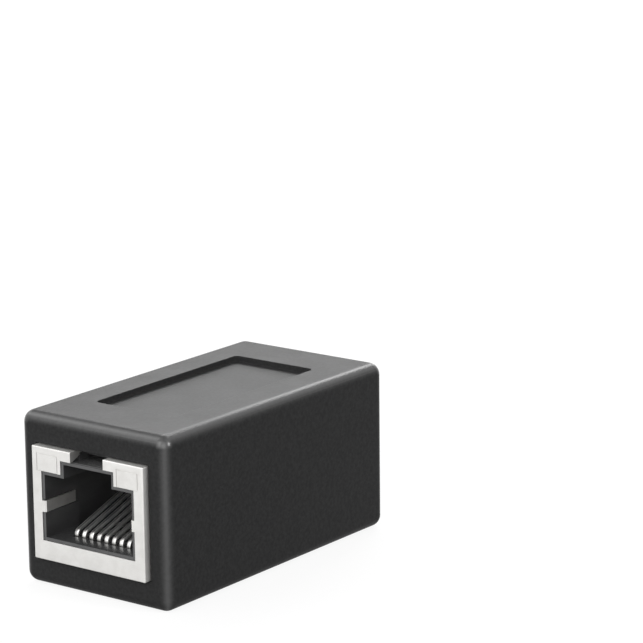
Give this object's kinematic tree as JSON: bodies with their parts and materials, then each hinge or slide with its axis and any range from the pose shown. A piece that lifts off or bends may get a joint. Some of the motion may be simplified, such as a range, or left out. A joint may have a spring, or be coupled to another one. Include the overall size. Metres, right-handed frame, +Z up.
{
  "type": "rj45 inline coupler",
  "caption": "Inline coupler for network cables: a rounded black box with a bright shielded modular jack in each end, the jacks joined back to back by a small board.",
  "frame": {"origin": "under the middle of the housing, on the face it rests on", "axes": "+Z up, +Y along the housing from the front port to the rear port, +X to the right seen from the front port"},
  "size_m": [0.0198, 0.0392, 0.0187],
  "materials": {
    "housing_plastic": "black moulded ABS with a very fine matte texture",
    "insert_plastic": "black moulded polyester, smooth",
    "carrier_plastic": "black moulded polyester, smooth",
    "shield_plating": "stamped sheet with satin nickel plating",
    "contact_plating": "phosphor bronze strip, bright plated",
    "board_laminate": "glass laminate board with green solder resist"
  },
  "bodies": {
    "root": {"housing": "housing_plastic", "rear_cap": "housing_plastic", "circuit_board": "board_laminate", "front_shield": "shield_plating", "front_insert": "insert_plastic", "front_contact_carrier": "carrier_plastic", "front_contact_1": "contact_plating", "front_contact_2": "contact_plating", "front_contact_3": "contact_plating", "front_contact_4": "contact_plating", "front_contact_5": "contact_plating", "front_contact_6": "contact_plating", "front_contact_7": "contact_plating", "front_contact_8": "contact_plating", "rear_shield": "shield_plating", "rear_insert": "insert_plastic", "rear_contact_carrier": "carrier_plastic", "rear_contact_1": "contact_plating", "rear_contact_2": "contact_plating", "rear_contact_3": "contact_plating", "rear_contact_4": "contact_plating", "rear_contact_5": "contact_plating", "rear_contact_6": "contact_plating", "rear_contact_7": "contact_plating", "rear_contact_8": "contact_plating"}
  },
  "joints": []
}
